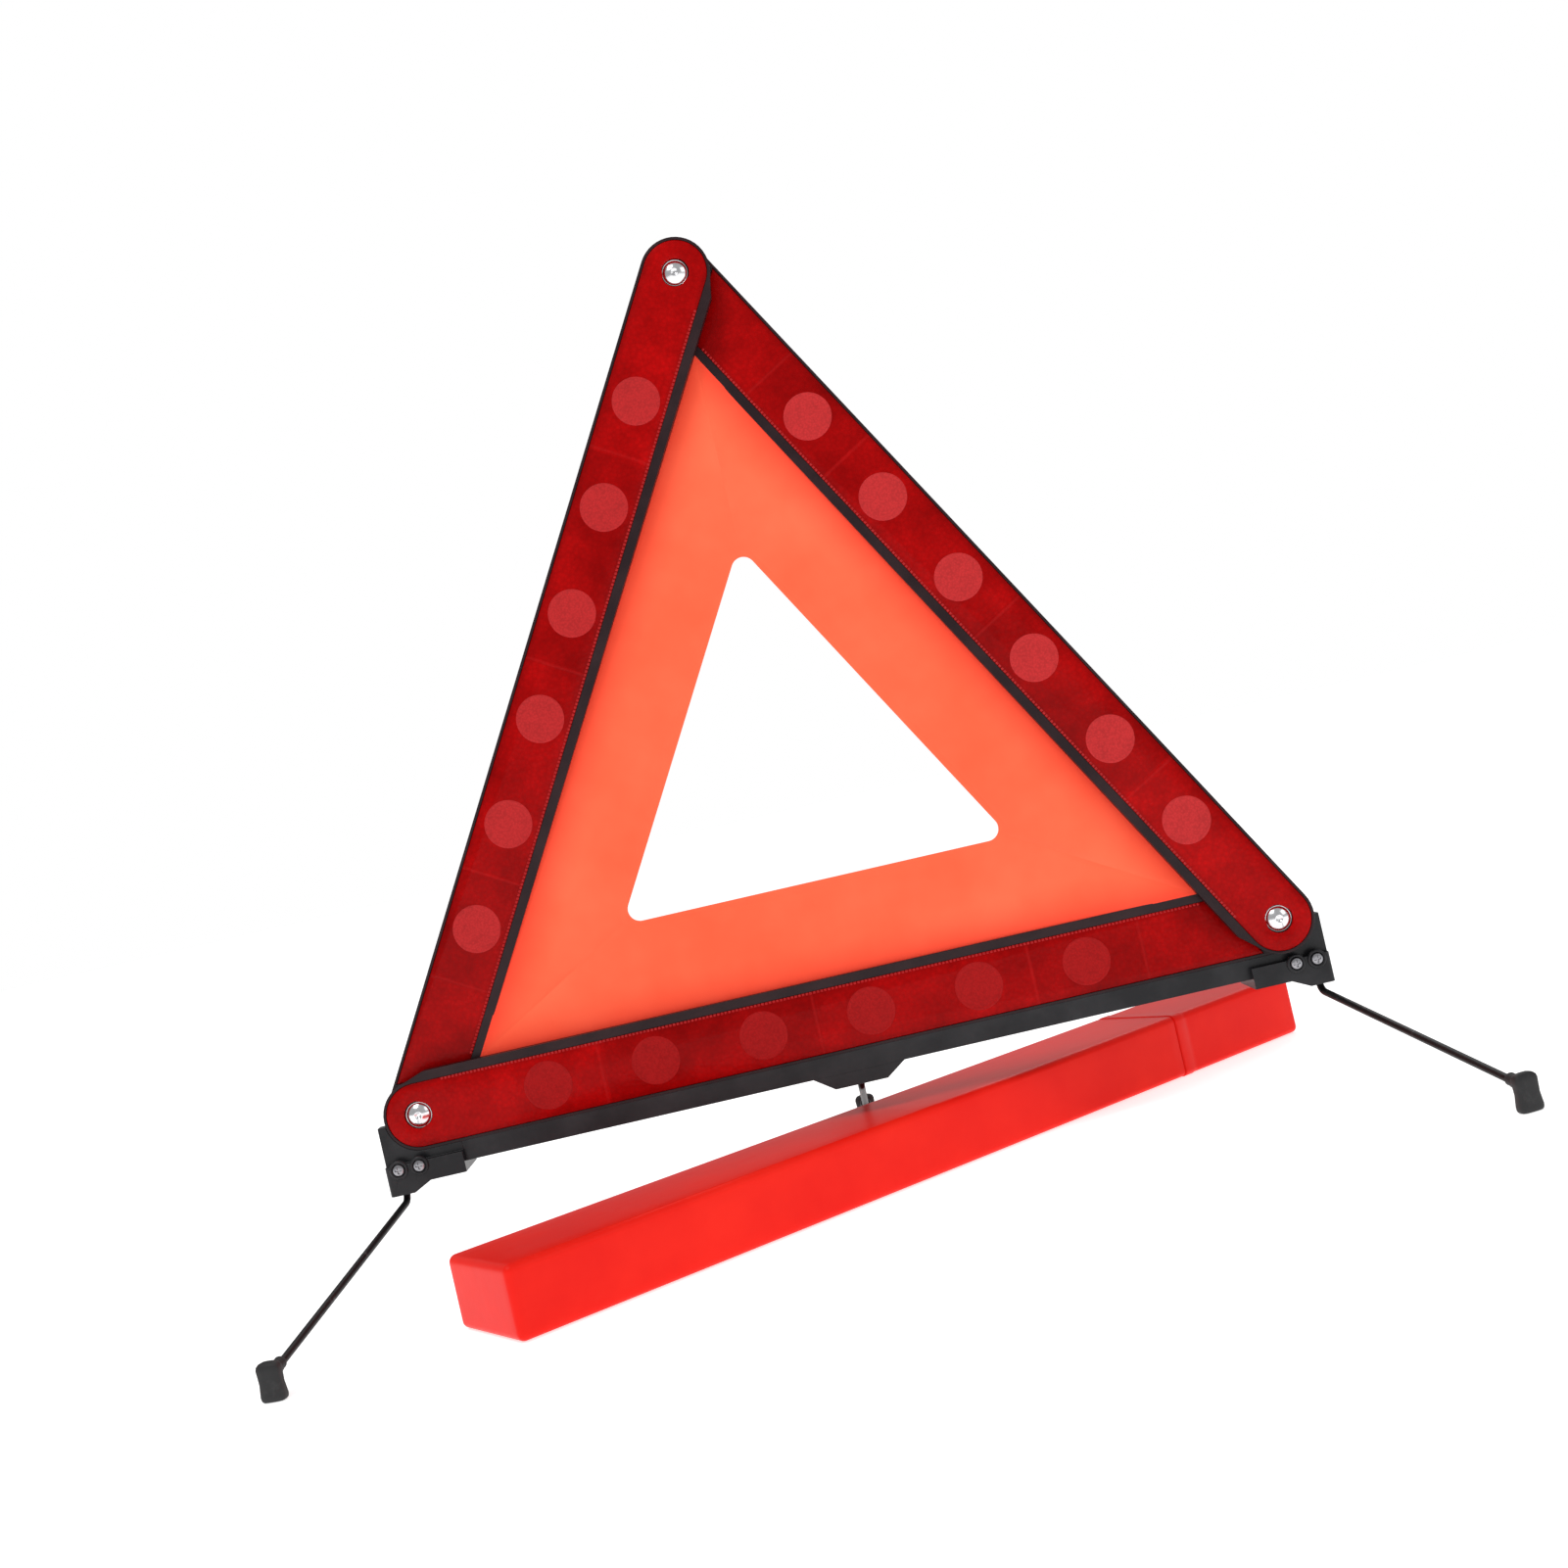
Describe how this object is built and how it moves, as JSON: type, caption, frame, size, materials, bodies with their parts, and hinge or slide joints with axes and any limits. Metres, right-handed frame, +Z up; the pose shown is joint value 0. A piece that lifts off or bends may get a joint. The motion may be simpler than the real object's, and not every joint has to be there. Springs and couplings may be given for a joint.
{
  "type": "folding warning triangle",
  "caption": "Folding roadside warning triangle: three hinged reflecting arms round a fluorescent sheet, on a base bar with swivelling wire legs, with its storage case.",
  "frame": {"origin": "on the ground, under the middle of the base bar, level with the underside of the storage case", "axes": "+X along the base bar to the right of the reflecting side's viewer, +Y to the rear, +Z up"},
  "size_m": [0.4958, 0.3057, 0.4328],
  "materials": {
    "black_abs": "moulded ABS, fine satin texture",
    "red_reflector": "clear red acrylic over micro prisms",
    "reflex_disc": "moulded prism disc",
    "fluorescent_sheet": "coated fluorescent cloth",
    "bright_rivet": "bright nickel plate",
    "screw_steel": "zinc plate",
    "nylon": "natural moulded nylon, black",
    "spring_wire": "black phosphate",
    "foot_rubber": "moulded rubber",
    "case_red": "injection moulded polypropylene, satin"
  },
  "bodies": {
    "base": {"bottom_arm_frame": "black_abs", "bottom_arm_lens": "red_reflector", "bottom_arm_discs": "reflex_disc", "panel_bottom": "fluorescent_sheet", "rivet_left": "bright_rivet", "washer_left": "nylon", "base_rail": "black_abs", "base_end_left": "black_abs", "base_end_right": "black_abs", "prop_bracket": "black_abs", "end_screws_left": "screw_steel", "end_screws_right": "screw_steel", "leg_bush_left": "nylon", "leg_bush_right": "nylon", "leg_bush_rear": "nylon", "catch_socket": "nylon", "case_sleeve": "case_red"},
    "left_arm": {"left_arm_frame": "black_abs", "left_arm_lens": "red_reflector", "left_arm_discs": "reflex_disc", "panel_left": "fluorescent_sheet", "rivet_top": "bright_rivet", "washer_top": "nylon"},
    "right_arm": {"right_arm_frame": "black_abs", "right_arm_lens": "red_reflector", "right_arm_discs": "reflex_disc", "panel_right": "fluorescent_sheet", "catch_stud": "bright_rivet"},
    "front_left_leg": {"front_left_wire": "spring_wire", "front_left_foot": "foot_rubber"},
    "front_right_leg": {"front_right_wire": "spring_wire", "front_right_foot": "foot_rubber"},
    "rear_prop": {"rear_prop_wire": "spring_wire", "rear_prop_foot": "foot_rubber"},
    "case_cap": {"case_cap": "case_red"}
  },
  "joints": [
    {"name": "left_arm_fold", "type": "hinge", "parent": "base", "child": "left_arm", "pos_m": [-0.19744, 0.0038, 0.07502], "axis": [0, 0.9994, 0.0333], "range_deg": [0, 60.04], "deforming": ["panel_left", "panel_bottom"]},
    {"name": "right_arm_swing", "type": "hinge", "parent": "left_arm", "child": "right_arm", "pos_m": [0, 0, 0.41705], "axis": [0.0577, 0.9983, 0], "range_deg": [-299.97, 0], "deforming": ["panel_right"]},
    {"name": "front_left_leg_swivel", "type": "hinge", "parent": "base", "child": "front_left_leg", "pos_m": [-0.211, 0, 0.042], "axis": [-0.1011, -0.0794, 0.9917], "range_deg": [-256.7, 22]},
    {"name": "front_right_leg_swivel", "type": "hinge", "parent": "base", "child": "front_right_leg", "pos_m": [0.211, 0, 0.042], "axis": [0.1011, -0.0794, 0.9917], "range_deg": [-103.25, 0]},
    {"name": "rear_prop_swivel", "type": "hinge", "parent": "base", "child": "rear_prop", "pos_m": [0, 0.014, 0.044], "axis": [0.1229, 0.1188, 0.9853], "range_deg": [0, 91.07]},
    {"name": "case_cap_slide", "type": "slide", "parent": "base", "child": "case_cap", "axis": [0.8192, 0.5736, 0], "range_m": [0, 0.03]}
  ],
  "couplings": [
    {"joint": "right_arm_swing", "follows": "left_arm_fold", "ratio": -4.9963}
  ]
}
